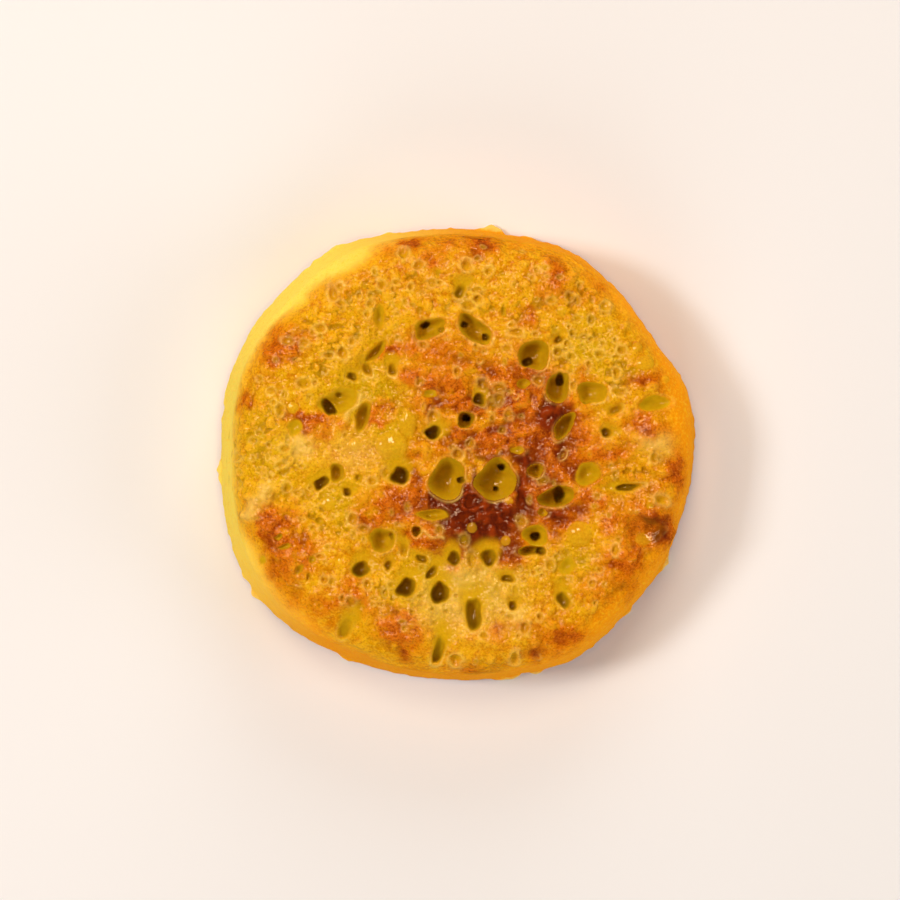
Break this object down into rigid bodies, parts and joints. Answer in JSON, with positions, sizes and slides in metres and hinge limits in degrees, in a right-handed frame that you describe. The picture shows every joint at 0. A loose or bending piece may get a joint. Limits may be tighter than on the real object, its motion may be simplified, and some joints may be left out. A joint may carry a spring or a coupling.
{
  "type": "honeycomb cake",
  "caption": "Small round honeycomb cake with a browned, open-celled top, a rounded shoulder and a ragged base edge.",
  "frame": {"origin": "middle of the cake's box in plan, at the flat base it rests on", "axes": "+Z up out of the open-celled top; +X to the right and +Y up as the top is seen in the picture"},
  "size_m": [0.0934, 0.0888, 0.0212],
  "materials": {
    "baked_batter": "moist, bubbly baked batter, toasted orange to caramel brown on its raised parts"
  },
  "bodies": {
    "root": {"honeycomb_cake": "baked_batter"}
  },
  "joints": []
}
